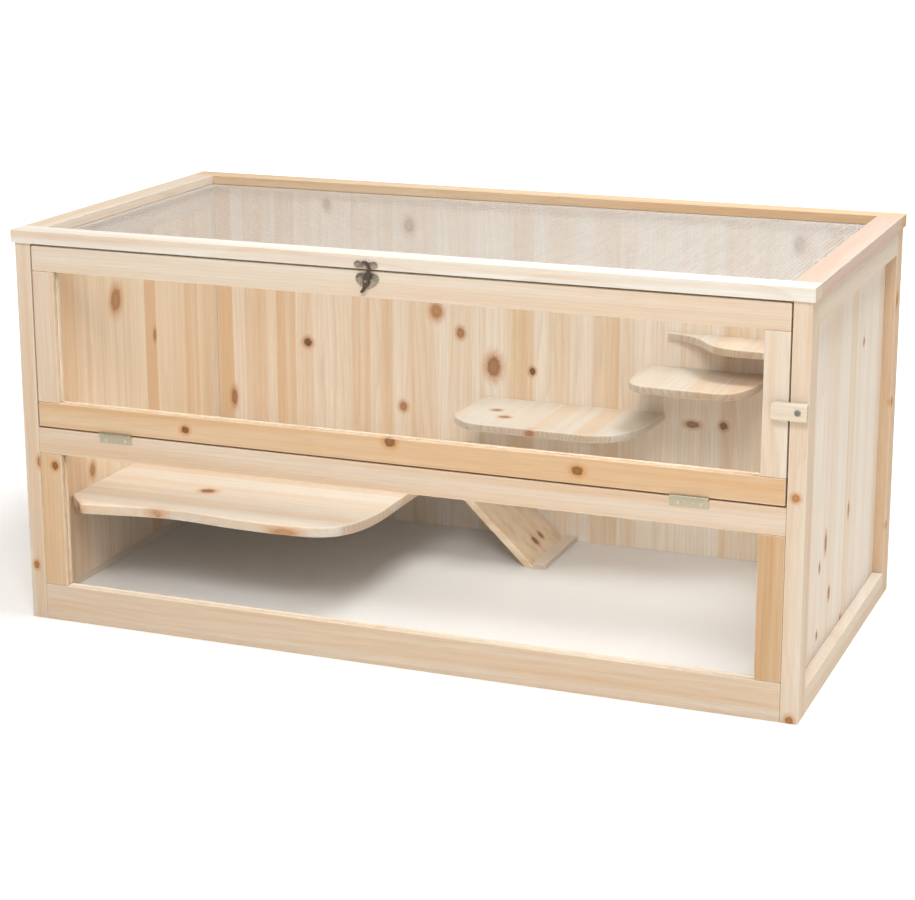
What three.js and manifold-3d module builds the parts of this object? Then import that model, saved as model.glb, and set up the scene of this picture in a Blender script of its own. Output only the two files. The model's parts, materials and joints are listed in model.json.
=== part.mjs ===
// A wooden hamster cage: framed side walls, a plank back wall, a coated floor, a fixed lower window,
// a fold-down upper door, a hinged mesh lid, four shelves and a ramp.
// Millimetres, +Z up. X runs along the front, +Y points from the front to the back wall.
// The origin is on the ground, at the middle of the cage's outline.
import * as THREE from 'three';
import { mergeVertices } from 'three/addons/utils/BufferGeometryUtils.js';
import Module from 'manifold-3d';

const wasm = await Module();
wasm.setup();

// Driving dimensions. Inside this file y = 0 is the front face of the body.
const LID_WIDTH = 1150;
const LID_THICKNESS = 18.5;
const LID_RAIL = 36;
const OVERHANG = 4;
const TOTAL_HEIGHT = 576;
const BODY_DEPTH = 576;
const JOIN = 0.3;

const SIDE_THICKNESS = 24;
const FRAME_THICKNESS = 18;
const RAIL_WIDTH = 36;
const WALL_PANEL = 8;
const BOTTOM_RAIL_HEIGHT = 54;
const MID_RAIL_BOTTOM = 252.5;
const MID_RAIL_TOP = 289.5;
const WINDOW_STILE = 35.5;

const DOOR_BOTTOM = 292;
const DOOR_TOP = 554.3;
const DOOR_SIDE_GAP = 2.2;
const DOOR_STILE = 33.5;

const PANE = 3;
const GROOVE = 3.6;
const GROOVE_DEPTH = 6;
const PANE_ENTRY = 5.5;
const MESH_SHEET = 0.6;
const MESH_GROOVE_HEIGHT = 4;

const FLOOR_TOP = 24;
const FLOOR_SHEET = 5;
const BATTEN = 19;

const SHELF_A_TOP = 166;
const SHELF_A_END = -86;
const SHELF_A_THICKNESS = 15;
const SHELF_B_TOP = 247;
const SHELF_C_TOP = 322;
const SHELF_D_TOP = 376;
const SHELF_THICKNESS = 12;
const CLEAT = 18;
const SMALL_CLEAT = 12;

const RAMP_WIDTH = 144;
const RAMP_THICKNESS = 11;
const RAMP_RUN = 148;
const RAMP_STOP_WIDTH = 20;
const RAMP_STOP_HEIGHT = 9;
const RAMP_OFF_WALL = 4;

const HINGE_LENGTH = 52;
const HINGE_LEAF = 1;
const KNUCKLE_RADIUS = 2.3;
const PIN_RADIUS = 1.2;
const PIN_CLEARANCE = 0.3;
const KNUCKLES = 5;
const DOOR_LEAF = 12.5;
const LID_LEAF = 17;
const DOOR_HINGE_X = 420;
const LID_HINGE_X = 400;

const LATCH_X = -28;
const LATCH_PLATE = 1.2;
const LATCH_HOOK = 1.6;
const LATCH_STUD_RADIUS = 2;
const LATCH_POST_RADIUS = 1.8;
const LATCH_STUD_LENGTH = 5.4;
const LATCH_POST_LENGTH = 8;
const LATCH_PIVOT_Z = 542;
const LATCH_STUD_Z = 562.5;

const BUTTON_LENGTH = 46;
const BUTTON_HEIGHT = 22;
const BUTTON_THICKNESS = 10;
const BUTTON_Z = 417.5;
const BUTTON_CORNER = 5;
const BUTTON_PAST_SCREW = 11.5;
const SCREW_HEAD = 1.6;
const SCREW_HEAD_RADIUS = 4.2;
const SCREW_SHANK = 1.7;
const SHANK_IN_HEAD = 0.8;

// Length of a cutter that goes right through any fitting.
const THROUGH = 60;

// Derived places.
const halfBody = LID_WIDTH / 2 - OVERHANG;
const inner = halfBody - SIDE_THICKNESS;
const backFace = BODY_DEPTH - FRAME_THICKNESS;
const lidBottom = TOTAL_HEIGHT - LID_THICKNESS;
const bodyTop = lidBottom - JOIN;
const doorHalf = inner - DOOR_SIDE_GAP;
const doorHingeY = -KNUCKLE_RADIUS - 0.1;
const doorHingeZ = (MID_RAIL_TOP + DOOR_BOTTOM) / 2;
const lidHingeY = BODY_DEPTH + KNUCKLE_RADIUS + 0.4;
const lidHingeZ = lidBottom - JOIN / 2;
const frontMost = -JOIN - BUTTON_THICKNESS - SCREW_HEAD;
const backMost = lidHingeY + KNUCKLE_RADIUS;

const cage = new THREE.Group();
cage.position.y = -(frontMost + backMost) / 2;

// Finishes.
const finish = (color, roughness, metalness = 0) => () =>
  new THREE.MeshStandardMaterial({ color, roughness, metalness });
const paleFir = finish(0xefdcc0, 0.62);
const warmFir = finish(0xe2bd8c, 0.6);
const plankFir = finish(0xead2b0, 0.64);
const coatedBoard = finish(0xe9e7e4, 0.35);
const galvanised = finish(0xb9bcbc, 0.4, 0.9);
const zinc = finish(0xc4c3b4, 0.35, 0.9);
const antiqueBronze = finish(0x6e604c, 0.45, 0.85);
const clearAcrylic = () => {
  const look = finish(0xf4f8f8, 0.05)();
  look.transparent = true;
  look.opacity = 0.18;
  return look;
};

function part(name, geometry, look) {
  const mesh = new THREE.Mesh(geometry, look());
  mesh.name = name;
  cage.add(mesh);
}

// A block between two limits on each axis.
function block(x, y, z) {
  const size = [x, y, z].map(([low, high]) => high - low);
  const middle = [x, y, z].map(([low, high]) => (low + high) / 2);
  return new THREE.BoxGeometry(...size).translate(...middle);
}

// A round bar along one axis, centred on a point.
function rod(radius, length, axis, centre, sides = 20) {
  const geometry = new THREE.CylinderGeometry(radius, radius, length, sides);
  if (axis === 'x') geometry.rotateZ(Math.PI / 2);
  if (axis === 'z') geometry.rotateX(Math.PI / 2);
  return geometry.translate(...centre);
}

// A flat outline in X and Z with a thickness along Y, its back face at y = back.
function plate(shape, thickness, back, curveSegments = 10) {
  const options = { depth: thickness, bevelEnabled: false, curveSegments };
  return new THREE.ExtrudeGeometry(shape, options).rotateX(Math.PI / 2).translate(0, back, 0);
}

function toSolid(geometry) {
  const bare = geometry.clone();
  bare.deleteAttribute('normal');
  bare.deleteAttribute('uv');
  const merged = mergeVertices(bare, 1e-4);
  const mesh = new wasm.Mesh({
    numProp: 3,
    vertProperties: new Float32Array(merged.attributes.position.array),
    triVerts: new Uint32Array(merged.index.array),
  });
  return new wasm.Manifold(mesh);
}

function toGeometry(solid) {
  const mesh = solid.getMesh();
  const geometry = new THREE.BufferGeometry();
  geometry.setAttribute('position', new THREE.BufferAttribute(mesh.vertProperties, 3));
  geometry.setIndex(new THREE.BufferAttribute(mesh.triVerts, 1));
  return geometry;
}

const joined = (...pieces) =>
  toGeometry(pieces.map(toSolid).reduce((sum, piece) => sum.add(piece)));
const carved = (base, ...cutters) =>
  toGeometry(cutters.map(toSolid).reduce((rest, cutter) => rest.subtract(cutter), toSolid(base)));

// A rectangular frame of four grooved timbers that holds a sheet in its grooves.
// The frame stands in the X and Z plane; `across` is its limits through the thickness.
function glazedFrame({ names, outer, widths, across, looks }) {
  const [x0, x1, z0, z1] = outer;
  const { left, right, bottom, top } = widths;
  const middle = (across[0] + across[1]) / 2;
  const groove = [middle - GROOVE / 2, middle + GROOVE / 2];
  const innerX = [x0 + left, x1 - right];
  const innerZ = [z0 + bottom, z1 - top];
  const slot = block(
    [innerX[0] - GROOVE_DEPTH, innerX[1] + GROOVE_DEPTH], groove,
    [innerZ[0] - GROOVE_DEPTH, innerZ[1] + GROOVE_DEPTH]);
  const uprights = [innerZ[0] + JOIN, innerZ[1] - JOIN];
  part(names.bottom, carved(block([x0, x1], across, [z0, innerZ[0]]), slot), looks.bottom);
  part(names.top, carved(block([x0, x1], across, [innerZ[1], z1]), slot), looks.top);
  part(names.left, carved(block([x0, innerX[0]], across, uprights), slot), looks.left);
  part(names.right, carved(block([innerX[1], x1], across, uprights), slot), looks.right);
  const pane = block(
    [innerX[0] - PANE_ENTRY, innerX[1] + PANE_ENTRY], [middle - PANE / 2, middle + PANE / 2],
    [innerZ[0] - PANE_ENTRY, innerZ[1] + PANE_ENTRY]);
  part(names.pane, pane, clearAcrylic);
}

// One framed side wall; side is -1 for the left wall and 1 for the right.
function sideWall(side, word) {
  const across = [inner, halfBody].map((v) => v * side).sort((a, b) => a - b);
  const panel = [inner, inner + WALL_PANEL].map((v) => v * side).sort((a, b) => a - b);
  const between = [RAIL_WIDTH + JOIN, BODY_DEPTH - RAIL_WIDTH - JOIN];
  const look = side < 0 ? warmFir : plankFir;
  part(`side_stile_front_${word}`, block(across, [0, RAIL_WIDTH], [0, bodyTop]), paleFir);
  part(`side_stile_back_${word}`,
    block(across, [BODY_DEPTH - RAIL_WIDTH, BODY_DEPTH], [0, bodyTop]), paleFir);
  part(`side_rail_bottom_${word}`, block(across, between, [0, RAIL_WIDTH]), paleFir);
  part(`side_rail_top_${word}`, block(across, between, [bodyTop - RAIL_WIDTH, bodyTop]), paleFir);
  part(`side_panel_${word}`,
    block(panel, between, [RAIL_WIDTH + JOIN, bodyTop - RAIL_WIDTH - JOIN]), look);
}

function backWall() {
  const across = [JOIN - inner, inner - JOIN];
  const frame = [backFace + WALL_PANEL + JOIN, BODY_DEPTH];
  part('back_panel',
    block(across, [backFace, backFace + WALL_PANEL], [FLOOR_TOP + JOIN, bodyTop]), plankFir);
  part('back_rail_top', block(across, frame, [bodyTop - RAIL_WIDTH, bodyTop]), paleFir);
  part('back_rail_bottom', block(across, frame, [0, RAIL_WIDTH]), paleFir);
}

function lowerWindow() {
  const outer = [JOIN - inner, inner - JOIN, 0, MID_RAIL_TOP];
  glazedFrame({
    names: {
      bottom: 'front_rail_bottom', top: 'front_rail_middle',
      left: 'window_stile_left', right: 'window_stile_right', pane: 'window_pane',
    },
    outer,
    widths: {
      left: WINDOW_STILE, right: WINDOW_STILE,
      bottom: BOTTOM_RAIL_HEIGHT, top: MID_RAIL_TOP - MID_RAIL_BOTTOM,
    },
    across: [0, FRAME_THICKNESS],
    looks: { bottom: paleFir, top: paleFir, left: warmFir, right: warmFir },
  });
}

function door() {
  glazedFrame({
    names: {
      bottom: 'door_rail_bottom', top: 'door_rail_top',
      left: 'door_stile_left', right: 'door_stile_right', pane: 'door_pane',
    },
    outer: [-doorHalf, doorHalf, DOOR_BOTTOM, DOOR_TOP],
    widths: { left: DOOR_STILE, right: DOOR_STILE, bottom: RAIL_WIDTH, top: RAIL_WIDTH },
    across: [0, FRAME_THICKNESS],
    looks: { bottom: warmFir, top: paleFir, left: paleFir, right: paleFir },
  });
}

// The lid is a flat frame with a wire mesh in a groove near its underside.
function lid() {
  const x = LID_WIDTH / 2;
  const opening = [LID_RAIL - x, x - LID_RAIL];
  const y = [-OVERHANG, BODY_DEPTH];
  const openingY = [y[0] + LID_RAIL, y[1] - LID_RAIL];
  const z = [lidBottom, TOTAL_HEIGHT];
  const slotBottom = lidBottom + MESH_GROOVE_HEIGHT;
  const slot = block(
    [opening[0] - GROOVE_DEPTH, opening[1] + GROOVE_DEPTH],
    [openingY[0] - GROOVE_DEPTH, openingY[1] + GROOVE_DEPTH],
    [slotBottom, slotBottom + MESH_SHEET + 2 * JOIN]);
  const between = [openingY[0] + JOIN, openingY[1] - JOIN];
  part('lid_rail_front', carved(block([-x, x], [y[0], openingY[0]], z), slot), paleFir);
  part('lid_rail_back', carved(block([-x, x], [openingY[1], y[1]], z), slot), warmFir);
  part('lid_rail_left', carved(block([-x, opening[0]], between, z), slot), paleFir);
  part('lid_rail_right', carved(block([opening[1], x], between, z), slot), paleFir);
  part('lid_mesh', block(
    [opening[0] - PANE_ENTRY, opening[1] + PANE_ENTRY],
    [openingY[0] - PANE_ENTRY, openingY[1] + PANE_ENTRY],
    [slotBottom + JOIN, slotBottom + JOIN + MESH_SHEET]), galvanised);
}

// The floor sheet rests on battens laid on the ground between the walls.
function floor() {
  const x = inner - JOIN;
  const y = [FRAME_THICKNESS + JOIN, BODY_DEPTH - FRAME_THICKNESS + WALL_PANEL];
  const z = [0, FLOOR_TOP - FLOOR_SHEET - JOIN];
  const between = [y[0] + BATTEN + JOIN, y[1] - BATTEN - JOIN];
  part('floor_sheet', block([-x, x], y, [FLOOR_TOP - FLOOR_SHEET, FLOOR_TOP]), coatedBoard);
  part('floor_batten_front', block([-x, x], [y[0], y[0] + BATTEN], z), warmFir);
  part('floor_batten_back', block([-x, x], [y[1] - BATTEN, y[1]], z), warmFir);
  part('floor_batten_left', block([-x, BATTEN - x], between, z), warmFir);
  part('floor_batten_middle', block([-BATTEN / 2, BATTEN / 2], between, z), warmFir);
  part('floor_batten_right', block([x - BATTEN, x], between, z), warmFir);
}

// A shelf board from its outline seen from above.
function shelf(name, outline, top, thickness) {
  const options = { depth: thickness, bevelEnabled: false, curveSegments: 10 };
  const geometry = new THREE.ExtrudeGeometry(outline, options).translate(0, 0, top - thickness);
  part(name, geometry, plankFir);
}

// The long half floor on the left, with a waved front and a deep round corner.
function shelfA() {
  const wall = JOIN - inner;
  const back = backFace - JOIN;
  const end = SHELF_A_END;
  const outline = new THREE.Shape();
  outline.moveTo(wall, back);
  outline.lineTo(wall, 84);
  outline.lineTo(-511, 46);
  outline.bezierCurveTo(-450, 54, -400, 74, -330, 66);
  outline.bezierCurveTo(-270, 59, -215, 56, -160, 62);
  outline.bezierCurveTo(-105, 68, end - 4, 112, end, 175);
  outline.lineTo(end, back);
  outline.closePath();
  shelf('shelf_a', outline, SHELF_A_TOP, SHELF_A_THICKNESS);
  const under = SHELF_A_TOP - SHELF_A_THICKNESS - JOIN;
  part('shelf_a_cleat_left', block([wall, wall + CLEAT], [88, back], [under - CLEAT, under]), warmFir);
  part('shelf_a_cleat_back',
    block([wall + CLEAT + JOIN, end - 10], [back - CLEAT, back], [under - CLEAT, under]), warmFir);
}

// The small shelves stand on cleats along the back wall.
function backCleat(name, from, to, top) {
  const back = backFace - JOIN;
  const under = top - SHELF_THICKNESS - JOIN;
  part(name, block([from, to], [back - SMALL_CLEAT, back], [under - SMALL_CLEAT, under]), warmFir);
}

function shelfB() {
  const back = backFace - JOIN;
  const outline = new THREE.Shape();
  outline.moveTo(-74, back);
  outline.lineTo(-79, 446);
  outline.quadraticCurveTo(-79, 428, -64, 413);
  outline.quadraticCurveTo(-48, 396, -28, 394);
  outline.lineTo(140, 390);
  outline.bezierCurveTo(186, 390, 208, 420, 217, 470);
  outline.lineTo(222, back);
  outline.closePath();
  shelf('shelf_b', outline, SHELF_B_TOP, SHELF_THICKNESS);
  backCleat('shelf_b_cleat', -60, 205, SHELF_B_TOP);
}

function shelfC() {
  const back = backFace - JOIN;
  const outline = new THREE.Shape();
  outline.moveTo(191, back);
  outline.lineTo(196, 458);
  outline.quadraticCurveTo(200, 424, 232, 420);
  outline.lineTo(338, 417);
  outline.bezierCurveTo(372, 419, 383, 462, 386, 512);
  outline.lineTo(390, back);
  outline.closePath();
  shelf('shelf_c', outline, SHELF_C_TOP, SHELF_THICKNESS);
  backCleat('shelf_c_cleat', 210, 370, SHELF_C_TOP);
}

// The top shelf fills the back right corner; its front edge sweeps out in a wave.
function shelfD() {
  const back = backFace - JOIN;
  const wall = inner - JOIN;
  const outline = new THREE.Shape();
  outline.moveTo(224, back);
  outline.lineTo(226, 550);
  outline.bezierCurveTo(262, 550, 282, 530, 298, 506);
  outline.bezierCurveTo(314, 482, 332, 474, 372, 474);
  outline.lineTo(wall, 474);
  outline.lineTo(wall, back);
  outline.closePath();
  shelf('shelf_d', outline, SHELF_D_TOP, SHELF_THICKNESS);
  backCleat('shelf_d_cleat', 300, wall, SHELF_D_TOP);
}

// The ramp leans on the end of the long shelf, and its foot is held by a stop on the floor.
function ramp() {
  const back = backFace - JOIN;
  const head = SHELF_A_END + JOIN;
  const foot = head + RAMP_RUN;
  const ground = FLOOR_TOP + JOIN;
  const rise = SHELF_A_TOP - ground;
  const drop = RAMP_THICKNESS * Math.hypot(RAMP_RUN, rise) / RAMP_RUN;
  const profile = new THREE.Shape();
  profile.moveTo(head, SHELF_A_TOP);
  profile.lineTo(head, SHELF_A_TOP - drop);
  profile.lineTo(foot - drop * RAMP_RUN / rise, ground);
  profile.lineTo(foot, ground);
  profile.closePath();
  const rampBack = back - RAMP_OFF_WALL;
  part('ramp_board', plate(profile, RAMP_WIDTH, rampBack), warmFir);
  part('ramp_stop', block(
    [foot + JOIN, foot + JOIN + RAMP_STOP_WIDTH],
    [rampBack - RAMP_WIDTH - 6, rampBack + RAMP_OFF_WALL / 2],
    [ground, ground + RAMP_STOP_HEIGHT]), paleFir);
}

// The knuckles of one hinge leaf; first is 0 for the leaf with the outer knuckles.
function knuckleSpans(centre, first) {
  const step = HINGE_LENGTH / KNUCKLES;
  const start = centre - HINGE_LENGTH / 2;
  const spans = [];
  for (let i = first; i < KNUCKLES; i += 2) {
    spans.push([start + i * step + JOIN / 2, start + (i + 1) * step - JOIN / 2]);
  }
  return spans;
}

// The fixed leaf carries the pin, and its outer knuckles are solid with it.
// leaf and web are [y limits, z limits]; the web joins the leaf to each knuckle.
function fixedLeaf(name, centre, y, z, leaf, web) {
  const ends = [centre - HINGE_LENGTH / 2, centre + HINGE_LENGTH / 2];
  const pieces = [block([ends[0] + JOIN / 2, ends[1] - JOIN / 2], ...leaf)];
  pieces.push(rod(PIN_RADIUS, HINGE_LENGTH - JOIN, 'x', [centre, y, z]));
  for (const span of knuckleSpans(centre, 0)) {
    pieces.push(rod(KNUCKLE_RADIUS, span[1] - span[0], 'x', [(span[0] + span[1]) / 2, y, z]));
    pieces.push(block(span, ...web));
  }
  part(name, joined(...pieces), zinc);
}

// The moving leaf has the inner knuckles, bored to turn on the pin.
function movingLeaf(name, centre, y, z, leaf, web) {
  const ends = [centre - HINGE_LENGTH / 2, centre + HINGE_LENGTH / 2];
  const pieces = [block([ends[0] + JOIN / 2, ends[1] - JOIN / 2], ...leaf)];
  for (const span of knuckleSpans(centre, 1)) {
    pieces.push(rod(KNUCKLE_RADIUS, span[1] - span[0], 'x', [(span[0] + span[1]) / 2, y, z]));
    pieces.push(block(span, ...web));
  }
  const bore = rod(PIN_RADIUS + PIN_CLEARANCE, THROUGH, 'x', [centre, y, z]);
  part(name, carved(joined(...pieces), bore), zinc);
}

// Each door hinge has one leaf on the middle rail and one under the door, with its knuckles outside.
function doorHinge(side, word) {
  const centre = side * DOOR_HINGE_X;
  const leafY = [-JOIN - HINGE_LEAF, -JOIN];
  const under = [DOOR_BOTTOM - JOIN - HINGE_LEAF, DOOR_BOTTOM - JOIN];
  const clear = KNUCKLE_RADIUS + JOIN;
  fixedLeaf(`door_hinge_fixed_leaf_${word}`, centre, doorHingeY, doorHingeZ,
    [leafY, [doorHingeZ - DOOR_LEAF, doorHingeZ - clear]],
    [leafY, [doorHingeZ - clear - 1, doorHingeZ]]);
  movingLeaf(`door_hinge_moving_leaf_${word}`, centre, doorHingeY, doorHingeZ,
    [[doorHingeY + clear, FRAME_THICKNESS - 3], under],
    [[doorHingeY, doorHingeY + clear + 1], under]);
}

// Each lid hinge has one leaf on the back rail and one on the lid's back edge.
function lidHinge(side, word) {
  const centre = side * LID_HINGE_X;
  const leafY = [BODY_DEPTH + JOIN, BODY_DEPTH + JOIN + HINGE_LEAF];
  const clear = KNUCKLE_RADIUS + JOIN;
  fixedLeaf(`lid_hinge_fixed_leaf_${word}`, centre, lidHingeY, lidHingeZ,
    [leafY, [lidHingeZ - LID_LEAF, lidHingeZ - clear]],
    [leafY, [lidHingeZ - clear - 1, lidHingeZ]]);
  movingLeaf(`lid_hinge_moving_leaf_${word}`, centre, lidHingeY, lidHingeZ,
    [leafY, [lidHingeZ + clear, lidHingeZ + LID_LEAF]],
    [leafY, [lidHingeZ, lidHingeZ + clear + 1]]);
}

// The catch on the lid's front edge: a winged plate with a stud.
function latchCatch() {
  const z = lidBottom + 1;
  const wing = new THREE.Shape();
  wing.moveTo(LATCH_X - 7, z);
  wing.lineTo(LATCH_X + 7, z);
  wing.quadraticCurveTo(LATCH_X + 18, z - 0.5, LATCH_X + 17, z + 6);
  wing.quadraticCurveTo(LATCH_X + 14, z + 12, LATCH_X + 8, z + 9);
  wing.quadraticCurveTo(LATCH_X, z + 6, LATCH_X - 8, z + 9);
  wing.quadraticCurveTo(LATCH_X - 14, z + 12, LATCH_X - 17, z + 6);
  wing.quadraticCurveTo(LATCH_X - 18, z - 0.5, LATCH_X - 7, z);
  const back = -OVERHANG - JOIN;
  const studY = back - LATCH_STUD_LENGTH / 2;
  const stud = rod(LATCH_STUD_RADIUS, LATCH_STUD_LENGTH, 'y', [LATCH_X, studY, LATCH_STUD_Z], 16);
  part('latch_catch', joined(plate(wing, LATCH_PLATE, back, 4), stud), antiqueBronze);
}

// The plate on the door: a rounded heart shape with a short pivot post.
function latchPlate() {
  const z = LATCH_PIVOT_Z;
  const heart = new THREE.Shape();
  heart.moveTo(LATCH_X, z - 12);
  heart.quadraticCurveTo(LATCH_X + 10, z - 10, LATCH_X + 16, z - 2);
  heart.quadraticCurveTo(LATCH_X + 20, z + 8, LATCH_X + 8, z + 10);
  heart.lineTo(LATCH_X - 8, z + 10);
  heart.quadraticCurveTo(LATCH_X - 20, z + 8, LATCH_X - 16, z - 2);
  heart.quadraticCurveTo(LATCH_X - 10, z - 10, LATCH_X, z - 12);
  const postY = -JOIN - LATCH_POST_LENGTH / 2;
  const post = rod(LATCH_POST_RADIUS, LATCH_POST_LENGTH, 'y', [LATCH_X, postY, z], 16);
  part('latch_plate', joined(plate(heart, LATCH_PLATE, -JOIN, 4), post), antiqueBronze);
}

// The hook swings on the post; its claw reaches up around the stud and its tail hangs below.
function latchHook() {
  const z = LATCH_PIVOT_Z;
  const hook = new THREE.Shape();
  hook.moveTo(LATCH_X - 5, z - 17);
  hook.quadraticCurveTo(LATCH_X + 3, z - 11, LATCH_X + 4.2, z);
  hook.quadraticCurveTo(LATCH_X + 9, z + 10, LATCH_X + 6, z + 21);
  hook.quadraticCurveTo(LATCH_X + 3, z + 28.5, LATCH_X - 4.5, z + 26.6);
  hook.lineTo(LATCH_X - 4, z + 24);
  hook.quadraticCurveTo(LATCH_X + 3, z + 26.5, LATCH_X + 3, z + 20);
  hook.quadraticCurveTo(LATCH_X + 3, z + 12, LATCH_X - 3, z + 5);
  hook.quadraticCurveTo(LATCH_X - 5, z, LATCH_X - 2.8, z - 5);
  hook.quadraticCurveTo(LATCH_X - 4, z - 11, LATCH_X - 8.5, z - 15);
  hook.closePath();
  const front = -OVERHANG - JOIN - LATCH_PLATE - JOIN;
  const bore = rod(LATCH_POST_RADIUS + PIN_CLEARANCE, THROUGH, 'y', [LATCH_X, front, z], 16);
  part('latch_hook', carved(plate(hook, LATCH_HOOK, front, 5), bore), antiqueBronze);
}

// The wooden turn button on the right post, with its screw through it.
function turnButton() {
  const screwX = inner + SIDE_THICKNESS / 2;
  const right = screwX + BUTTON_PAST_SCREW;
  const left = right - BUTTON_LENGTH;
  const half = BUTTON_HEIGHT / 2;
  const radius = BUTTON_CORNER;
  const outline = new THREE.Shape();
  outline.moveTo(right, BUTTON_Z - half);
  outline.lineTo(right, BUTTON_Z + half);
  outline.lineTo(left + radius, BUTTON_Z + half);
  outline.quadraticCurveTo(left, BUTTON_Z + half, left, BUTTON_Z + half - radius);
  outline.lineTo(left, BUTTON_Z - half + radius);
  outline.quadraticCurveTo(left, BUTTON_Z - half, left + radius, BUTTON_Z - half);
  outline.closePath();
  const bore = rod(SCREW_SHANK + PIN_CLEARANCE, THROUGH, 'y', [screwX, 0, BUTTON_Z], 16);
  part('turn_button', carved(plate(outline, BUTTON_THICKNESS, -JOIN, 5), bore), paleFir);
  const underHead = -JOIN - BUTTON_THICKNESS - JOIN;
  const headLength = SCREW_HEAD - JOIN;
  const shankLength = BUTTON_THICKNESS + JOIN + SHANK_IN_HEAD;
  const shankY = underHead - SHANK_IN_HEAD + shankLength / 2;
  part('turn_button_screw', joined(
    rod(SCREW_HEAD_RADIUS, headLength, 'y', [screwX, underHead - headLength / 2, BUTTON_Z]),
    rod(SCREW_SHANK, shankLength, 'y', [screwX, shankY, BUTTON_Z], 16),
  ), zinc);
}

for (const [side, word] of [[-1, 'left'], [1, 'right']]) {
  sideWall(side, word);
  doorHinge(side, word);
  lidHinge(side, word);
}
backWall();
lowerWindow();
door();
lid();
floor();
shelfA();
shelfB();
shelfC();
shelfD();
ramp();
latchCatch();
latchPlate();
latchHook();
turnButton();

export default cage;
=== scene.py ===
# A wooden hamster cage: mesh lid, folding front door, clear panes, four shelves and a ramp.
import json
import random
from math import pi, radians

import bpy
from mathutils import Matrix, Vector

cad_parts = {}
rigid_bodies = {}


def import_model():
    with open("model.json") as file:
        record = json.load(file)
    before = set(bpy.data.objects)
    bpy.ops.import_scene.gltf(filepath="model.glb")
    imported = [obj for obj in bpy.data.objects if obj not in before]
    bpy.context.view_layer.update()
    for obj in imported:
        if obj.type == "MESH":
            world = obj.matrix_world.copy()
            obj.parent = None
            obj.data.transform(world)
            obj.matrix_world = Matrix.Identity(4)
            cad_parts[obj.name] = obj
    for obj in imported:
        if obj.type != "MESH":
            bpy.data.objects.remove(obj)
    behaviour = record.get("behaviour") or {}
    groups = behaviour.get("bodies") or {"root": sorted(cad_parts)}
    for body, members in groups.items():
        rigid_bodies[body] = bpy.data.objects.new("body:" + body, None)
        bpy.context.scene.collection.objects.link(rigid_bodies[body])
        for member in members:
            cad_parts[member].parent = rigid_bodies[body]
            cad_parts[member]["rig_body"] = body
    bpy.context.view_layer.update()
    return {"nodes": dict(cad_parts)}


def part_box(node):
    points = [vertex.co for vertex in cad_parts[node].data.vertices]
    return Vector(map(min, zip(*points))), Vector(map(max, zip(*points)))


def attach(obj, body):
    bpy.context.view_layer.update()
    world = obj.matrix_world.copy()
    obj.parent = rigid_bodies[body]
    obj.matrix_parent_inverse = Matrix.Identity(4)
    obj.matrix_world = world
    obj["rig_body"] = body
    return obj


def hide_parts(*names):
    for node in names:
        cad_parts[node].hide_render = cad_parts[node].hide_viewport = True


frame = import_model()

nodes = frame["nodes"]
random.seed(7)

MM = 0.001
X, Y, Z = 0, 1, 2
HAIR = 0.01 * MM
WHITE = (1.0, 1.0, 1.0, 1)


# ---------------------------------------------------------------- camera and studio

CAMERA_PLACE = (1.181, -3.0036, 1.140)
HEADING, TILT, ROLL = radians(21.68), radians(-14.38), radians(-0.14)
LENS = 89.9
SHIFT_UP = -0.0546

# Brightness of the studio's walls: at the horizon, overhead, under the floor, and as a bare backdrop.
HORIZON_GLOW, ZENITH_GLOW = 0.12, 0.52
BELOW_GLOW = 1.2
BACKDROP_GLOW = 1.06
WALL_LIGHT = (1.0, 0.945, 0.88, 1)


def set_camera():
    camera = bpy.data.objects.new("camera", bpy.data.cameras.new("camera"))
    bpy.context.scene.collection.objects.link(camera)
    camera.data.sensor_width = 36
    camera.data.lens = LENS
    camera.data.shift_y = SHIFT_UP
    camera.data.clip_end = 100
    turn = Matrix.Rotation(HEADING, 4, "Z") @ Matrix.Rotation(pi / 2 + TILT, 4, "X")
    level = Matrix.Translation(CAMERA_PLACE) @ turn
    camera.matrix_world = level @ Matrix.Rotation(ROLL, 4, "Z")
    bpy.context.scene.camera = camera


def add_softbox(name, place, aim, size, power):
    light = bpy.data.lights.new(name, "AREA")
    light.shape = "DISK"
    light.size = size
    light.energy = power
    box = bpy.data.objects.new(name, light)
    bpy.context.scene.collection.objects.link(box)
    turn = (Vector(aim) - Vector(place)).to_track_quat("-Z", "Y").to_matrix().to_4x4()
    box.matrix_world = Matrix.Translation(place) @ turn


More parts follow.
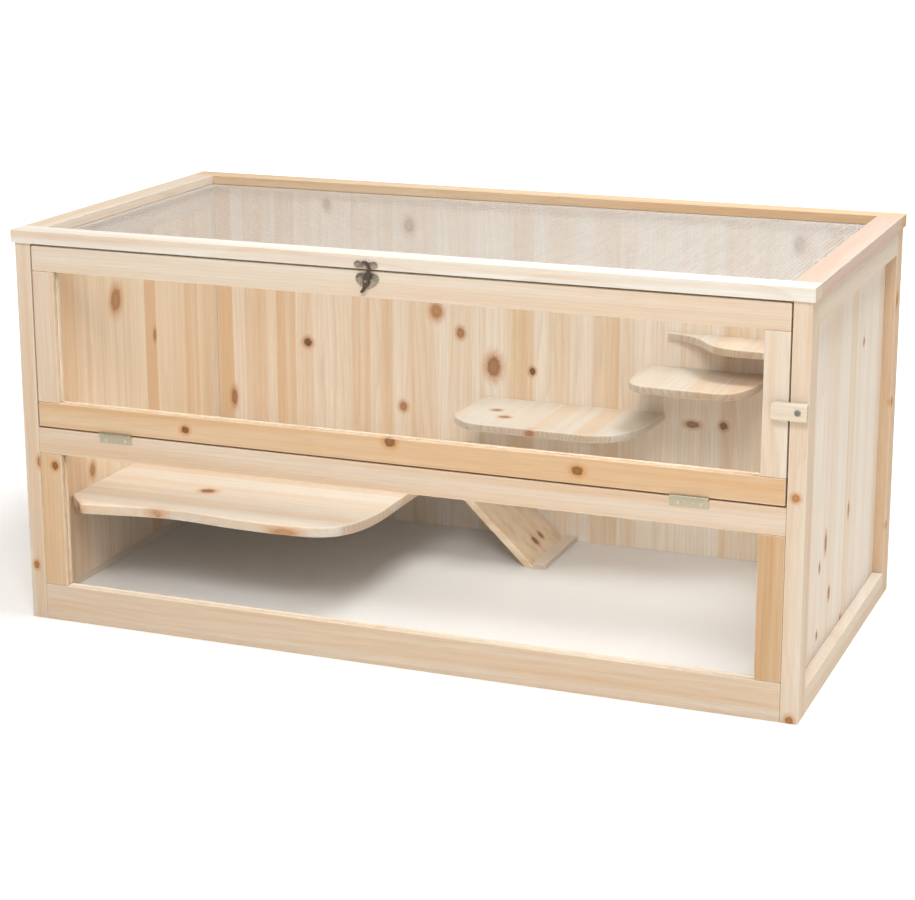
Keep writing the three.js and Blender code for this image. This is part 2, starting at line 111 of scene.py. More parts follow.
def set_studio():
    """A plain pale floor and walls, one lamp overhead on the right and one in front."""
    world = bpy.data.worlds.new("studio")
    world.use_nodes = True
    tree = world.node_tree
    height = tree.nodes.new("ShaderNodeSeparateXYZ")
    join(tree, height.inputs[0], tree.nodes.new("ShaderNodeTexCoord").outputs["Generated"])
    sky = ramp_between(tree, height.outputs["Z"], 0.0, 0.8, HORIZON_GLOW, ZENITH_GLOW)
    below = ramp_between(tree, height.outputs["Z"], 0.0, -0.02, 0.0, BELOW_GLOW)
    seen = tree.nodes.new("ShaderNodeLightPath").outputs["Is Camera Ray"]
    backdrop = calc(tree, "MULTIPLY", seen, BACKDROP_GLOW)
    glow = calc(tree, "MAXIMUM", calc(tree, "MAXIMUM", sky, below), backdrop)
    join(tree, tree.nodes["Background"].inputs["Strength"], glow)
    join(tree, tree.nodes["Background"].inputs["Color"], blend_colours(tree, seen, WALL_LIGHT, WHITE))
    bpy.context.scene.world = world
    bpy.context.scene.view_settings.view_transform = "Standard"
    add_softbox("softbox_above", (0.9, 0.1, 2.8), (0, 0, 0.3), 1.2, 52)
    add_softbox("softbox_front", (0.7, -2.5, 2.8), (-0.1, 0, 0.35), 1.4, 65)
    deselect()
    bpy.ops.mesh.primitive_plane_add(size=8, location=(0, 0, 0))
    floor = bpy.context.object
    floor.name = "studio_floor"
    floor.data.materials.append(studio_paper())


# ---------------------------------------------------------------- picking and editing pieces

def deselect():
    bpy.ops.object.select_all(action="DESELECT")


def pick(piece):
    deselect()
    piece.select_set(True)
    bpy.context.view_layer.objects.active = piece


def open_mesh(piece, mode="VERT"):
    pick(piece)
    bpy.ops.object.mode_set(mode="EDIT")
    bpy.ops.mesh.select_mode(type=mode)
    bpy.ops.mesh.select_all(action="SELECT")


def open_chosen(piece, mode, chosen):
    """Opens a mesh with only the chosen edges or faces selected."""
    open_mesh(piece, mode)
    bpy.ops.mesh.select_all(action="DESELECT")
    close_mesh()
    picked = piece.data.edges if mode == "EDGE" else piece.data.polygons
    picked.foreach_set("select", chosen)
    bpy.ops.object.mode_set(mode="EDIT")


def close_mesh():
    bpy.ops.object.mode_set(mode="OBJECT")


def apply_modifier(piece, kind, **settings):
    pick(piece)
    modifier = piece.modifiers.new(kind.lower(), kind)
    for key, value in settings.items():
        setattr(modifier, key, value)
    bpy.ops.object.modifier_apply(modifier=modifier.name)


def settle(piece):
    """The piece's place goes into its mesh, and its object to the origin."""
    pick(piece)
    bpy.ops.object.transform_apply(location=True, rotation=True, scale=True)


def clean_copy(node, name):
    """A copy of a CAD node's shape, with its loose triangles joined into whole faces."""
    piece = bpy.data.objects.new(name, nodes[node].data.copy())
    bpy.context.scene.collection.objects.link(piece)
    piece.data.materials.clear()
    pick(piece)
    bpy.ops.mesh.customdata_custom_splitnormals_clear()
    open_mesh(piece)
    bpy.ops.mesh.remove_doubles(threshold=HAIR)
    bpy.ops.mesh.dissolve_limited(angle_limit=radians(0.5))
    bpy.ops.mesh.normals_make_consistent(inside=False)
    close_mesh()
    return piece


def ease_edges(piece, width, segments=2, angle=30):
    open_mesh(piece, "EDGE")
    bpy.ops.mesh.select_all(action="DESELECT")
    bpy.ops.mesh.edges_select_sharp(sharpness=radians(angle))
    bpy.ops.mesh.bevel(offset=width, segments=segments, affect="EDGES", clamp_overlap=True)
    close_mesh()


def cut_across(piece, axis, places):
    """Cuts every face at the given places along an axis, so each strip of wood has its own faces."""
    normal = [0, 0, 0]
    normal[axis] = 1
    for place in places:
        point = [0, 0, 0]
        point[axis] = place
        open_mesh(piece)
        bpy.ops.mesh.bisect(plane_co=point, plane_no=normal)
        close_mesh()


# How far apart along the wood two neighbouring strips are cut, and two pieces.
CUT_STEP = 0.713
PIECE_STEP = 0.113


def shortest_edge(mesh, face):
    corners = [mesh.vertices[i].co for i in face.vertices]
    return min((a - b).length for a, b in zip(corners, corners[1:] + corners[:1]))


def mark_wood(piece, along, strip_of, tones, worn_and_lit_below):
    """Notes each face's cut of wood, its warmth, whether it is end grain, and whether it is narrow
    enough for the pale edge colour: wear on eased edges, a painted highlight on framed lips.
    """
    faces = piece.data.polygons
    strips = [strip_of(face.center) for face in faces]
    first_cut = board_number(piece)
    write_note(piece, "board", [first_cut + CUT_STEP * strip for strip in strips])
    write_note(piece, "tone", [tones[strip] for strip in strips])
    write_note(piece, "end", [float(abs(face.normal[along]) > 0.75) for face in faces])
    mark_worn_and_lit(piece, worn_and_lit_below)


def mark_worn_and_lit(piece, worn_and_lit_below):
    # Faces narrower than the given width take the pale edge colour: wear on eased edges, and on framed
    # pieces a painted highlight on the pane's inner lips.
    short = [shortest_edge(piece.data, face) < worn_and_lit_below for face in piece.data.polygons]
    write_note(piece, "worn", [float(is_short) for is_short in short])


def write_note(piece, name, values):
    layer = piece.data.attributes.new(name, "FLOAT", "FACE")
    layer.data.foreach_set("value", values)


def board_number(piece):
    """A number of the piece's own, so that no two boards are cut from the same stretch of wood."""
    total = sum(ord(letter) * (place + 1) for place, letter in enumerate(piece.name))
    return total % 97 * PIECE_STEP


def smooth_below(piece, degrees):
    """Smooth shading where faces meet at less than the given angle."""
    pick(piece)
    bpy.ops.object.shade_smooth_by_angle(angle=radians(degrees))


def finish_piece(piece, material, body, finish, *replaced):
    piece.data.materials.clear()
    piece.data.materials.append(material)
    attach(piece, body)
    if replaced:
        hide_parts(*replaced)
    return piece


# ---------------------------------------------------------------- node helpers

def join(tree, socket, value):
    if isinstance(value, bpy.types.NodeSocket):
        tree.links.new(value, socket)
    elif value is not None:
        socket.default_value = value


def calc(tree, operation, a, b=None, c=None, clamp=False):
    node = tree.nodes.new("ShaderNodeMath")
    node.operation = operation
    node.use_clamp = clamp
    for socket, value in zip(node.inputs, (a, b, c)):
        join(tree, socket, value)
    return node.outputs[0]


def strongest(tree, mask, other):
    return other if mask is None else calc(tree, "MAXIMUM", mask, other)


def vector_calc(tree, operation, a, b=None):
    node = tree.nodes.new("ShaderNodeVectorMath")
    node.operation = operation
    for socket, value in zip(node.inputs, (a, b)):
        join(tree, socket, value)
    return node.outputs["Value"] if operation == "LENGTH" else node.outputs["Vector"]


def blend_colours(tree, share, a, b, kind="MIX"):
    node = tree.nodes.new("ShaderNodeMix")
    node.data_type = "RGBA"
    node.blend_type = kind
    join(tree, node.inputs[0], share)
    join(tree, node.inputs[6], a)
    join(tree, node.inputs[7], b)
    return node.outputs[2]


def ramp_between(tree, value, low, high, low_out=0.0, high_out=1.0):
    node = tree.nodes.new("ShaderNodeMapRange")
    node.interpolation_type = "SMOOTHSTEP"
    for socket, number in zip(node.inputs, (value, low, high, low_out, high_out)):
        join(tree, socket, number)
    return node.outputs[0]


def cloud(tree, vector, scale, detail=2.0, roughness=0.5):
    node = tree.nodes.new("ShaderNodeTexNoise")
    join(tree, node.inputs["Vector"], vector)
    node.inputs["Scale"].default_value = scale
    node.inputs["Detail"].default_value = detail
    node.inputs["Roughness"].default_value = roughness
    return node.outputs[0]


def note(tree, name):
    node = tree.nodes.new("ShaderNodeAttribute")
    node.attribute_name = name
    return node.outputs["Fac"]


def raise_surface(tree, height, strength, distance):
    node = tree.nodes.new("ShaderNodeBump")
    node.inputs["Strength"].default_value = strength
    node.inputs["Distance"].default_value = distance
    join(tree, node.inputs["Height"], height)
    return node.outputs["Normal"]


def start_group(name, inputs, outputs):
    tree = bpy.data.node_groups.new(name, "ShaderNodeTree")
    kinds = {"number": "NodeSocketFloat", "vector": "NodeSocketVector", "colour": "NodeSocketColor"}
    for label, kind in inputs:
        tree.interface.new_socket(label, in_out="INPUT", socket_type=kinds[kind])
    for label, kind in outputs:
        tree.interface.new_socket(label, in_out="OUTPUT", socket_type=kinds[kind])
    given = tree.nodes.new("NodeGroupInput").outputs
    result = tree.nodes.new("NodeGroupOutput").inputs
    return tree, given, result


def place_group(tree, group, **values):
    node = tree.nodes.new("ShaderNodeGroup")
    node.node_tree = group
    for label, value in values.items():
        join(tree, node.inputs[label.replace("_", " ")], value)
    return node.outputs


def start_material(name):
    material = bpy.data.materials.new(name)
    material.use_nodes = True
    tree = material.node_tree
    place = tree.nodes.new("ShaderNodeTexCoord").outputs["Object"]
    return material, tree, tree.nodes["Principled BSDF"], place


# ---------------------------------------------------------------- shared effects

LATE_WOOD = (0.56, 0.33, 0.17, 1)
END_GRAIN = (0.47, 0.29, 0.15, 1)
KNOT_HALO = (0.55, 0.24, 0.065, 1)
KNOT_HEART = (0.115, 0.040, 0.016, 1)
# The pale colour of eased edges: wear, and on the framed pieces' inner lips a painted highlight where
# they catch the light.
WORN_AND_LIT_EDGE = (0.86, 0.74, 0.60, 1)


def make_knot_group():
    """One knot at a chosen place: a dark ring round an orange middle, in a halo that fades outwards."""
    tree, given, result = start_group(
        "placed knot",
        [("Vector", "vector"), ("Place", "vector"), ("Size", "vector"), ("Dark", "number")],
        [("Heart", "number"), ("Halo", "number")])
    away = vector_calc(tree, "SUBTRACT", given["Vector"], given["Place"])
    reach = vector_calc(tree, "LENGTH", vector_calc(tree, "DIVIDE", away, given["Size"]))
    wobble = calc(tree, "MULTIPLY_ADD", cloud(tree, given["Vector"], 260.0, 2.0), 0.7, -0.35)
    reach = calc(tree, "ADD", reach, wobble)
    middle = ramp_between(tree, reach, 0.85, 0.25)
    orange = calc(tree, "MULTIPLY", middle, calc(tree, "MULTIPLY_ADD", given["Dark"], -0.8, 0.8))
    ring = calc(tree, "SUBTRACT", 1.0, orange)
    heart = calc(tree, "MULTIPLY", ramp_between(tree, reach, 1.15, 0.75), ring)
    join(tree, result["Heart"], calc(tree, "MULTIPLY", heart, given["Dark"]))
    halo = ramp_between(tree, reach, 2.6, 0.6)
    join(tree, result["Halo"], calc(tree, "POWER", halo, 1.5))
    return tree


def make_grain_group():
    """Fir grain along the vector's first axis. Every board number gives a different cut of wood."""
    tree, given, result = start_group(
        "fir grain",
        [("Vector", "vector"), ("Board", "number"), ("Swirl", "number"), ("Knots", "number")],
        [("Rings", "number"), ("Streaks", "number"), ("Fibres", "number"), ("Heart", "number"),
         ("Halo", "number")])
    jump = vector_calc(tree, "SCALE", (3.17, 1.73, 0.91))
    join(tree, jump.node.inputs["Scale"], given["Board"])
    wood = vector_calc(tree, "ADD", given["Vector"], jump)

    # A few knots of the board's own, each in a cell of its own.
    cells = tree.nodes.new("ShaderNodeTexVoronoi")
    join(tree, cells.inputs["Vector"], vector_calc(tree, "MULTIPLY", wood, (5.5, 11.0, 5.5)))
    cells.inputs["Scale"].default_value = 1.0
    pick_of = tree.nodes.new("ShaderNodeSeparateColor")
    join(tree, pick_of.inputs[0], cells.outputs["Color"])
    chosen = calc(tree, "LESS_THAN", pick_of.outputs[0], given["Knots"])
    radius = calc(tree, "MULTIPLY_ADD", pick_of.outputs[1], 0.055, 0.025)
    reach = calc(tree, "DIVIDE", cells.outputs["Distance"], radius)
    heart = calc(tree, "MULTIPLY", ramp_between(tree, reach, 1.2, 0.7), chosen)
    halo = calc(tree, "MULTIPLY", ramp_between(tree, reach, 3.0, 0.8), chosen)
    join(tree, result["Heart"], heart)
    join(tree, result["Halo"], halo)

    # Growth rings: wide on one board and narrow on the next, drifting, and pushed aside by knots.
    dice = tree.nodes.new("ShaderNodeTexWhiteNoise")
    dice.noise_dimensions = "1D"
    join(tree, dice.inputs["W"], given["Board"])
    spacing = calc(tree, "MULTIPLY_ADD", dice.outputs["Value"], 170.0, 45.0)

    drift = cloud(tree, vector_calc(tree, "MULTIPLY", wood, (1.3, 11.0, 11.0)), 1.0, 2.0)
    parts = tree.nodes.new("ShaderNodeSeparateXYZ")
    join(tree, parts.inputs[0], wood)
    count = calc(tree, "MULTIPLY", parts.outputs[1], spacing)
    count = calc(tree, "MULTIPLY_ADD", drift, 9.0, count)
    count = calc(tree, "MULTIPLY_ADD", halo, 1.6, count)
    count = calc(tree, "MULTIPLY_ADD", given["Swirl"], 1.9, count)
    wave = calc(tree, "FRACT", count)
    late = calc(tree, "POWER", wave, 3.0)
    soft = ramp_between(tree, wave, 1.0, 0.93)
    join(tree, result["Rings"], calc(tree, "MULTIPLY", late, soft))

    streaked = vector_calc(tree, "MULTIPLY", wood, (0.8, 40.0, 40.0))
    join(tree, result["Streaks"], cloud(tree, streaked, 1.0, 3.0, 0.62))
    fibrous = vector_calc(tree, "MULTIPLY", wood, (22.0, 620.0, 620.0))
    join(tree, result["Fibres"], cloud(tree, fibrous, 1.0, 2.0))
    return tree


def make_wood_colour_group():
    """Mixes the grain's parts into the wood's colour, roughness and height."""
    tree, given, result = start_group(
        "wood colour",
        [("Pale", "colour"), ("Warm", "colour"), ("Rings", "number"), ("Streaks", "number"),
         ("Fibres", "number"), ("Tone", "number"), ("Heart", "number"), ("Halo", "number"),
         ("Worn", "number"), ("End", "number")],
        [("Colour", "colour"), ("Roughness", "number"), ("Height", "number")])
    warmth = calc(tree, "MULTIPLY_ADD", given["Streaks"], 2.6, -1.3)
    warmth = calc(tree, "ADD", warmth, given["Tone"], clamp=True)
    colour = blend_colours(tree, warmth, given["Pale"], given["Warm"])
    late = calc(tree, "MULTIPLY", given["Rings"], 0.22)
    colour = blend_colours(tree, late, colour, LATE_WOOD)
    grey = calc(tree, "MULTIPLY_ADD", given["Fibres"], 0.22, 0.89)
    shade = tree.nodes.new("ShaderNodeCombineXYZ")
    for socket in shade.inputs:
        join(tree, socket, grey)
    colour = blend_colours(tree, 1.0, colour, shade.outputs[0], "MULTIPLY")
    end = calc(tree, "MULTIPLY", given["End"], calc(tree, "MULTIPLY_ADD", given["Rings"], 0.5, 0.25))
    colour = blend_colours(tree, end, colour, END_GRAIN)
    # The pale edge colour is wear on eased edges and a painted highlight on the framed pieces' lit inner
    # lips.
    stains = (("Halo", 0.88, KNOT_HALO), ("Heart", 0.92, KNOT_HEART), ("Worn", 0.45, WORN_AND_LIT_EDGE))
    for mark, share, stain in stains:
        colour = blend_colours(tree, calc(tree, "MULTIPLY", given[mark], share), colour, stain)
    join(tree, result["Colour"], colour)
    rough = calc(tree, "MULTIPLY_ADD", given["Rings"], -0.12, 0.62)
    rough = calc(tree, "MULTIPLY_ADD", given["Heart"], -0.18, rough)
    join(tree, result["Roughness"], calc(tree, "MULTIPLY_ADD", given["Fibres"], 0.12, rough))
    height = calc(tree, "MULTIPLY_ADD", given["Rings"], 0.55, given["Fibres"])
    join(tree, result["Height"], calc(tree, "MULTIPLY_ADD", given["Heart"], -0.6, height))
    return tree


def make_wear_and_highlight_group():
    """Wear along the eased edges, heavier in some places than in others; on framed pieces the same mask
    is also a painted highlight on the pane's inner lips.
    """
    tree, given, result = start_group(
        "edge wear",
        [("Vector", "vector"), ("Worn", "number"), ("Amount", "number")],
        [("Mask", "number")])
    patches = ramp_between(tree, cloud(tree, given["Vector"], 60.0, 3.0, 0.6), 0.3, 0.65, 0.5, 1.0)
    worn = calc(tree, "MULTIPLY", given["Worn"], patches)
    join(tree, result["Mask"], calc(tree, "MULTIPLY", worn, given["Amount"], clamp=True))
    return tree


def make_metal_group():
    """Mottled metal: a plated crystal pattern, cloudy dulling and fine scratches."""
    tree, given, result = start_group(
        "metal surface", [("Vector", "vector"), ("Crystal", "number")],
        [("Crystals", "number"), ("Clouds", "number"), ("Scratches", "number")])
    cells = tree.nodes.new("ShaderNodeTexVoronoi")
    join(tree, cells.inputs["Vector"], given["Vector"])
    join(tree, cells.inputs["Scale"], given["Crystal"])
    grey = tree.nodes.new("ShaderNodeSeparateColor")
    join(tree, grey.inputs[0], cells.outputs["Color"])
    join(tree, result["Crystals"], grey.outputs[0])
    join(tree, result["Clouds"], cloud(tree, given["Vector"], 260.0, 4.0, 0.6))
    drawn = vector_calc(tree, "MULTIPLY", given["Vector"], (300.0, 2600.0, 2600.0))
    join(tree, result["Scratches"], cloud(tree, drawn, 1.0, 2.0))
    return tree


KNOT = make_knot_group()
GRAIN = make_grain_group()
WOOD_COLOUR = make_wood_colour_group()
WEAR_AND_HIGHLIGHT = make_wear_and_highlight_group()
METAL = make_metal_group()


# ---------------------------------------------------------------- materials

# Knots that show: the middle of the knot in the cage's millimetres, its half sizes along and across
# the grain, and how dark its heart is.
KNOTS = {
    "back_panel": [
        ((-60, 273, 296), 16, 11, 0.62), ((5, 273, 294), 6, 5, 1.0), ((-383, 273, 309), 7, 7, 1.0),
        ((-519, 273, 205), 13, 5, 0.55), ((-116, 273, 346), 8, 6, 0.5), ((-157, 273, 378), 11, 9, 0.35),
        ((266, 273, 233), 5, 10, 0.75), ((315, 273, 235), 6, 6, 0.95), ((-203, 273, 512), 12, 8, 0.8),
        ((423, 273, 524), 12, 8, 0.7), ((-345, 273, 537), 9, 6, 0.6), ((-215, 273, 217), 7, 6, 0.5),
        ((60, 273, 120), 9, 7, 0.6), ((410, 273, 130), 7, 6, 0.6),
    ],
    "side_panel_left": [
        ((-547, -52, 431), 17, 14, 0.5), ((-547, 63, 352), 9, 4, 0.55), ((-547, -110, 500), 8, 5, 0.8),
        ((-547, -140, 187), 10, 7, 0.5),
    ],
    "side_panel_right": [
        ((555, -82, 184), 12, 5, 0.7), ((555, -50, 102), 8, 5, 0.6), ((555, 32, 36), 7, 4, 0.5),
        ((555, 120, 420), 5, 4, 0.6), ((555, 60, 190), 9, 4, 0.45), ((555, -115, 158), 6, 4, 0.6),
        ((555, -118, 63), 5, 4, 0.6),
    ],
    "door_rail_bottom": [
        ((-309, -285, 309), 6, 5, 0.9), ((2, -285, 323), 8, 7, 0.8), ((268, -285, 310), 8, 6, 0.8),
    ],
    "side_stile_front_right": [((558, -285, 304), 5, 5, 0.4), ((560, -285, 4), 6, 5, 0.6)],
    "side_stile_front_left": [((-561, -285, 81), 6, 4, 0.6), ((-547, -285, 238), 8, 4, 0.6)],
    "side_stile_back_right": [
        ((571, 262, 300), 6, 5, 0.6), ((571, 268, 452), 9, 5, 0.6), ((571, 262, 110), 5, 4, 0.5),
    ],
    "window_stile_left": [((-522, -285, 235), 6, 5, 0.8)],
    "shelf_a": [
        ((-368, -112, 166), 11, 9, 0.9), ((-394, -228, 158), 12, 10, 0.9),
        ((-528, -234, 157), 14, 8, 0.6), ((-190, -222, 155), 20, 6, 0.3),
    ],
    "shelf_b": [((-26, 198, 247), 6, 7, 0.6), ((0, 163, 247), 6, 8, 0.6), ((60, 106, 240), 8, 6, 0.5)],
    "ramp_board": [((41, 191, 45), 9, 6, 0.9), ((40, 219, 46), 8, 5, 0.8)],
}

# The colours of sapwood and heartwood in each finish, and in the pieces that differ from it.
PALE = {
    "pale_fir": (0.710, 0.645, 0.555, 1),
    "warm_fir": (0.690, 0.560, 0.400, 1),
    "plank_fir": (0.890, 0.810, 0.700, 1),
    "side_panel_right": (0.835, 0.790, 0.730, 1),
    "side_panel_left": (0.800, 0.680, 0.520, 1),
    "side_stile_back_left": (0.800, 0.700, 0.560, 1),
    "lid_rail_front": (0.750, 0.730, 0.675, 1),
    # The lid's right rail is darker than the other rails: painted shade against the strong light from
    # above that falls on it.
    "lid_rail_right": (0.630, 0.540, 0.490, 1),
    "ramp_board": (0.860, 0.690, 0.490, 1),
}
WARM = {
    "pale_fir": (0.660, 0.490, 0.340, 1),
    "warm_fir": (0.640, 0.415, 0.230, 1),
    "plank_fir": (0.780, 0.575, 0.360, 1),
    "side_panel_right": (0.770, 0.655, 0.530, 1),
    "side_panel_left": (0.710, 0.490, 0.300, 1),
    # The lid's right rail is darker here too: painted shade against the light from above.
    "lid_rail_right": (0.580, 0.420, 0.320, 1),
    "shelf_a": (0.670, 0.500, 0.340, 1),
    "window_stile_right": (0.530, 0.330, 0.170, 1),
}
SHELVES = ("shelf_a", "shelf_b", "shelf_c", "shelf_d")
for shelf in SHELVES:
    PALE[shelf] = (0.690, 0.640, 0.560, 1)
    WARM.setdefault(shelf, (0.670, 0.490, 0.320, 1))


def fir(finish, piece, along, through, knots):
    """Planed, unfinished fir: grain along the piece, the knots that show, and a share of others."""
    material, tree, shader, place = start_material(f"{finish}_{piece}")
    across = 3 - along - through
    order = (along, across, through)
    axes = tree.nodes.new("ShaderNodeSeparateXYZ")
    join(tree, axes.inputs[0], place)
    turned = tree.nodes.new("ShaderNodeCombineXYZ")
    for socket, axis in zip(turned.inputs, order):
        join(tree, socket, axes.outputs[axis])
    wood = turned.outputs[0]
    heart = halo = None
    for middle, long, wide, dark in KNOTS.get(piece, []):
        spot = Vector([middle[axis] * MM for axis in order])
        size = Vector((long, wide, wide)) * MM
        knot = place_group(tree, KNOT, Vector=wood, Place=spot, Size=size, Dark=dark)
        heart = strongest(tree, heart, knot["Heart"])
        halo = strongest(tree, halo, knot["Halo"])
    grain = place_group(tree, GRAIN, Vector=wood, Board=note(tree, "board"), Swirl=halo, Knots=knots)
    heart = strongest(tree, heart, grain["Heart"])
    halo = strongest(tree, halo, grain["Halo"])
    # The pale edge mask: wear on eased edges, and a painted highlight on the framed pieces' inner lips.
    wear_and_highlight = place_group(tree, WEAR_AND_HIGHLIGHT, Vector=wood, Worn=note(tree, "worn"), Amount=1.0)
    pale = PALE.get(piece, PALE[finish])
    warm = WARM.get(piece, WARM[finish])
    surface = place_group(
        tree, WOOD_COLOUR, Pale=pale, Warm=warm, Rings=grain["Rings"], Streaks=grain["Streaks"],
        Fibres=grain["Fibres"], Tone=note(tree, "tone"), Heart=heart, Halo=halo, Worn=wear_and_highlight["Mask"],
        End=note(tree, "end"))
    join(tree, shader.inputs["Base Color"], surface["Colour"])
    join(tree, shader.inputs["Roughness"], surface["Roughness"])
    join(tree, shader.inputs["Normal"], raise_surface(tree, surface["Height"], 0.35, 0.25 * MM))
    shader.inputs["Specular IOR Level"].default_value = 0.35
    return material


def metal(name, dark, bright, worn, rough, crystal, metallic=0.92):
    """Mottled metal between a dark and a bright colour, polished to a third one on its worn edges."""
    material, tree, shader, place = start_material(name)
    skin = place_group(tree, METAL, Vector=place, Crystal=crystal)
    wear_and_highlight = place_group(tree, WEAR_AND_HIGHLIGHT, Vector=place, Worn=note(tree, "worn"), Amount=0.9)
    clouds = calc(tree, "MULTIPLY", skin["Clouds"], 0.75)
    mottle = calc(tree, "MULTIPLY_ADD", skin["Crystals"], 0.35, clouds, clamp=True)
    colour = blend_colours(tree, mottle, dark, bright)
    join(tree, shader.inputs["Base Color"], blend_colours(tree, wear_and_highlight["Mask"], colour, worn))
    dull = calc(tree, "MULTIPLY_ADD", skin["Clouds"], 0.25, rough - 0.12)
    join(tree, shader.inputs["Roughness"], calc(tree, "MULTIPLY_ADD", skin["Scratches"], 0.12, dull))
    join(tree, shader.inputs["Normal"], raise_surface(tree, skin["Scratches"], 0.18, 0.05 * MM))
    shader.inputs["Metallic"].default_value = metallic
    return material


def clear_acrylic():
    """A clear sheet that lets the light of the lamps straight through."""
    material, tree, shader, place = start_material("clear_acrylic")
    shader.inputs["Base Color"].default_value = (0.985, 0.992, 0.990, 1)
    shader.inputs["Transmission Weight"].default_value = 1.0
    shader.inputs["IOR"].default_value = 1.3
    haze = cloud(tree, vector_calc(tree, "MULTIPLY", place, (9.0, 9.0, 3.0)), 1.0, 4.0, 0.6)
    join(tree, shader.inputs["Roughness"], ramp_between(tree, haze, 0.35, 0.75, 0.0, 0.03))
    through = tree.nodes.new("ShaderNodeBsdfTransparent")
    through.inputs["Color"].default_value = (0.95, 0.96, 0.96, 1)
    either = tree.nodes.new("ShaderNodeMixShader")
    rays = tree.nodes.new("ShaderNodeLightPath")
    join(tree, either.inputs[0], rays.outputs["Is Shadow Ray"])
    join(tree, either.inputs[1], shader.outputs[0])
    join(tree, either.inputs[2], through.outputs[0])
    join(tree, tree.nodes["Material Output"].inputs["Surface"], either.outputs[0])
    return material


def coated_board():
    """White melamine film on board: a faint orange-peel surface, a little duller where it is scuffed."""
    material, tree, shader, place = start_material("coated_board")
    scuff = ramp_between(tree, cloud(tree, place, 5.0, 2.0, 0.4), 0.25, 0.75)
    colour = blend_colours(tree, scuff, (0.74, 0.725, 0.71, 1), (0.72, 0.70, 0.68, 1))
    join(tree, shader.inputs["Base Color"], colour)
    join(tree, shader.inputs["Roughness"], calc(tree, "MULTIPLY_ADD", scuff, 0.08, 0.30))
    peel = cloud(tree, place, 260.0, 2.0)
    join(tree, shader.inputs["Normal"], raise_surface(tree, peel, 0.05, 0.1 * MM))
    return material


# The paper's own light near the cage and far from it, and the share of it that reaches the cage.
NEAR_GLOW, FAR_GLOW = 0.22, 0.80
UNSEEN_SHARE = 0.38
PAPER_LIGHT = (1.0, 0.94, 0.87, 1)
PAPER_BOUNCE = (0.93, 0.88, 0.81, 1)


def studio_paper():
    """White paper that glows white to the camera and gives a softer, warmer light to the cage."""
    material, tree, shader, place = start_material("studio_paper")
    seen = tree.nodes.new("ShaderNodeLightPath").outputs["Is Camera Ray"]
    tooth = cloud(tree, place, 40.0, 3.0)
    paper = blend_colours(tree, tooth, (0.93, 0.93, 0.93, 1), (0.95, 0.95, 0.95, 1))
    join(tree, shader.inputs["Base Color"], blend_colours(tree, seen, PAPER_BOUNCE, paper))
    shader.inputs["Roughness"].default_value = 0.9
    shader.inputs["Specular IOR Level"].default_value = 0.1
    join(tree, shader.inputs["Emission Color"], blend_colours(tree, seen, PAPER_LIGHT, WHITE))
    reach = vector_calc(tree, "LENGTH", place)
    glow = ramp_between(tree, reach, 0.9, 2.6, NEAR_GLOW, FAR_GLOW)
    share = calc(tree, "MULTIPLY_ADD", seen, 1 - UNSEEN_SHARE, UNSEEN_SHARE)
    join(tree, shader.inputs["Emission Strength"], calc(tree, "MULTIPLY", glow, share))
    return material


ZINC = metal(
    "zinc_hardware", dark=(0.40, 0.375, 0.30, 1), bright=(0.60, 0.565, 0.45, 1),
    worn=(0.74, 0.72, 0.64, 1), rough=0.40, crystal=900.0)
DARK_ZINC = metal(
    "dull_zinc", dark=(0.16, 0.16, 0.155, 1), bright=(0.30, 0.30, 0.28, 1),
    worn=(0.42, 0.41, 0.38, 1), rough=0.42, crystal=900.0)
WIRE = metal(
    "galvanised_wire", dark=(0.62, 0.63, 0.63, 1), bright=(0.85, 0.85, 0.85, 1),
    worn=(0.9, 0.9, 0.9, 1), rough=0.45, crystal=700.0, metallic=0.6)
BRONZE = metal(
    "aged_bronze", dark=(0.06, 0.050, 0.040, 1), bright=(0.52, 0.47, 0.39, 1),
    worn=(0.66, 0.58, 0.44, 1), rough=0.32, crystal=500.0)
DARK_BRONZE = metal(
    "dark_bronze", dark=(0.035, 0.028, 0.022, 1), bright=(0.16, 0.13, 0.10, 1),
    worn=(0.50, 0.42, 0.30, 1), rough=0.30, crystal=500.0)
ACRYLIC = clear_acrylic()
BOARD = coated_board()


# ---------------------------------------------------------------- timbers

# How warm each timber is, from 0, pale cream, to 1, orange. The others are drawn at random.
TONES = {
    # The lid's right rail is set warmer, and so darker, than the other lid rails: painted shade against
    # the strong light from above.
    "lid_rail_front": 0.05, "lid_rail_right": 0.7, "lid_rail_left": 0.3, "lid_rail_back": 0.6,
    "door_rail_top": 0.45, "door_rail_bottom": 0.8, "door_stile_left": 0.6, "door_stile_right": 0.25,
    "front_rail_middle": 0.65, "front_rail_bottom": 0.65,
    "window_stile_left": 0.8, "window_stile_right": 1.0,
    "side_stile_front_right": 0.6, "side_stile_front_left": 0.5, "side_stile_back_right": 0.85,
}

# Places along the wall where a strip of heartwood shows warmer than the rest, in millimetres.
WARM_STRIPS = {
    "back_panel": (-520, -465, -405, -280, -165, -12, 133, 320, 470),
    "side_panel_left": (-170, 60),
    "side_panel_right": (235, 60, -190),
}

STRIPPED = ("back_panel", "side_panel_left", "side_panel_right")


EASE = 0.9 * MM
FRAME_EASE = 1.3 * MM
# Faces narrower than this on a framed piece, its eased edges and the pane's inner lips, take the pale
# edge colour: wear on the edges, and a painted highlight on the lips where they catch the light.
LIT_LIP = 8 * MM

# The narrowest and the widest glued strip, in a wall and in a shelf.
WALL_STRIPS = (18 * MM, 48 * MM)
SHELF_STRIPS = (38 * MM, 72 * MM)
JOINT_GROOVE = 0.5 * MM

OWN_KNOTS = 0.02
WALL_KNOTS = 0.025


def finish_of(node):
    return nodes[node].data.materials[0].name.split(".")[0]


